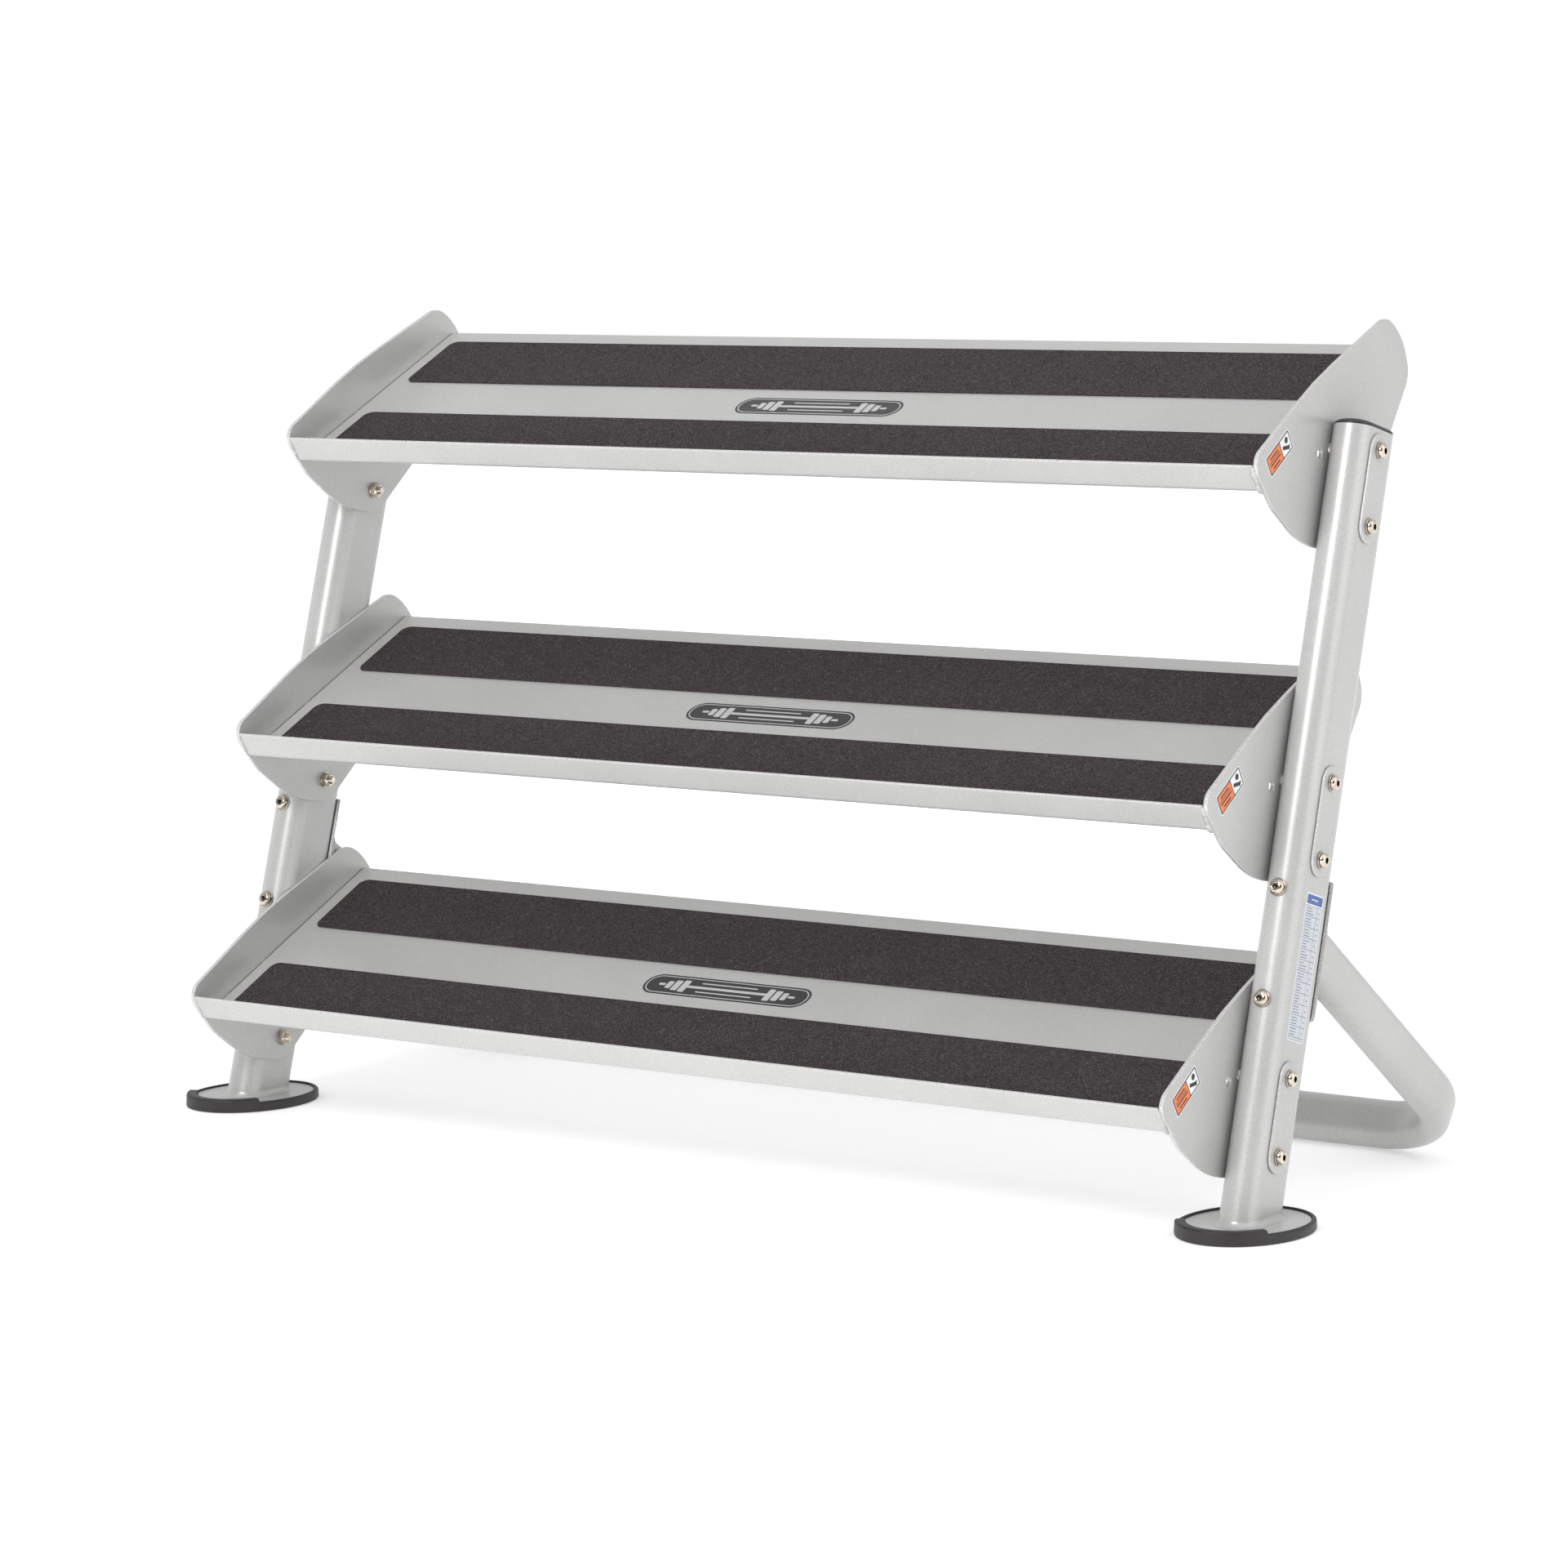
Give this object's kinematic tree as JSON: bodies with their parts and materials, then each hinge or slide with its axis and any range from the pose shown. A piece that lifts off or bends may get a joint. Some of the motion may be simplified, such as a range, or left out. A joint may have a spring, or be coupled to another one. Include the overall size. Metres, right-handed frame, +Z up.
{
  "type": "dumbbell rack",
  "caption": "Floor-standing rack of sloping lipped sheet-metal shelves between leaf-shaped end plates, on leaning flat-oval uprights with a bent tube stay behind, for storing dumbbells.",
  "frame": {"origin": "on the floor under the middle of the rack's bounding box", "axes": "+X along the shelves, to the right seen from the front; +Y from the front lip towards the rear stay; +Z up"},
  "size_m": [1.5736, 0.6958, 0.9905],
  "materials": {
    "silver_powder_coat": "fine satin silver powder coat",
    "black_plastic": "satin moulded plastic",
    "black_rubber": "smooth satin rubber",
    "grip_mat": "gritty matt non-slip surface",
    "zinc_plate": "bright plated steel"
  },
  "bodies": {
    "root": {"upright_left": "silver_powder_coat", "upright_cap_left": "black_plastic", "foot_plate_left": "silver_powder_coat", "foot_boot_left": "black_rubber", "upright_right": "silver_powder_coat", "upright_cap_right": "black_plastic", "foot_plate_right": "silver_powder_coat", "foot_boot_right": "black_rubber", "tray_bottom": "silver_powder_coat", "mat_front_bottom": "grip_mat", "mat_rear_bottom": "grip_mat", "end_plate_bottom_left": "silver_powder_coat", "strap_bottom_left": "silver_powder_coat", "end_plate_bottom_right": "silver_powder_coat", "strap_bottom_right": "silver_powder_coat", "tray_middle": "silver_powder_coat", "mat_front_middle": "grip_mat", "mat_rear_middle": "grip_mat", "end_plate_middle_left": "silver_powder_coat", "strap_middle_left": "silver_powder_coat", "end_plate_middle_right": "silver_powder_coat", "strap_middle_right": "silver_powder_coat", "tray_top": "silver_powder_coat", "mat_front_top": "grip_mat", "mat_rear_top": "grip_mat", "end_plate_top_left": "silver_powder_coat", "strap_top_left": "silver_powder_coat", "end_plate_top_right": "silver_powder_coat", "strap_top_right": "silver_powder_coat", "rear_frame": "silver_powder_coat", "saddle_plate_left": "silver_powder_coat", "shelf_bolt_bottom_left_lower": "zinc_plate", "shelf_nut_bottom_left_lower": "zinc_plate", "shelf_bolt_bottom_left_upper": "zinc_plate", "shelf_nut_bottom_left_upper": "zinc_plate", "shelf_bolt_middle_left_lower": "zinc_plate", "shelf_nut_middle_left_lower": "zinc_plate", "shelf_bolt_middle_left_upper": "zinc_plate", "shelf_nut_middle_left_upper": "zinc_plate", "shelf_bolt_top_left_lower": "zinc_plate", "shelf_nut_top_left_lower": "zinc_plate", "shelf_bolt_top_left_upper": "zinc_plate", "shelf_nut_top_left_upper": "zinc_plate", "frame_screw_left_lower": "zinc_plate", "frame_screw_left_upper": "zinc_plate", "saddle_plate_right": "silver_powder_coat", "shelf_bolt_bottom_right_lower": "zinc_plate", "shelf_nut_bottom_right_lower": "zinc_plate", "shelf_bolt_bottom_right_upper": "zinc_plate", "shelf_nut_bottom_right_upper": "zinc_plate", "shelf_bolt_middle_right_lower": "zinc_plate", "shelf_nut_middle_right_lower": "zinc_plate", "shelf_bolt_middle_right_upper": "zinc_plate", "shelf_nut_middle_right_upper": "zinc_plate", "shelf_bolt_top_right_lower": "zinc_plate", "shelf_nut_top_right_lower": "zinc_plate", "shelf_bolt_top_right_upper": "zinc_plate", "shelf_nut_top_right_upper": "zinc_plate", "frame_screw_right_lower": "zinc_plate", "frame_screw_right_upper": "zinc_plate"}
  },
  "joints": []
}
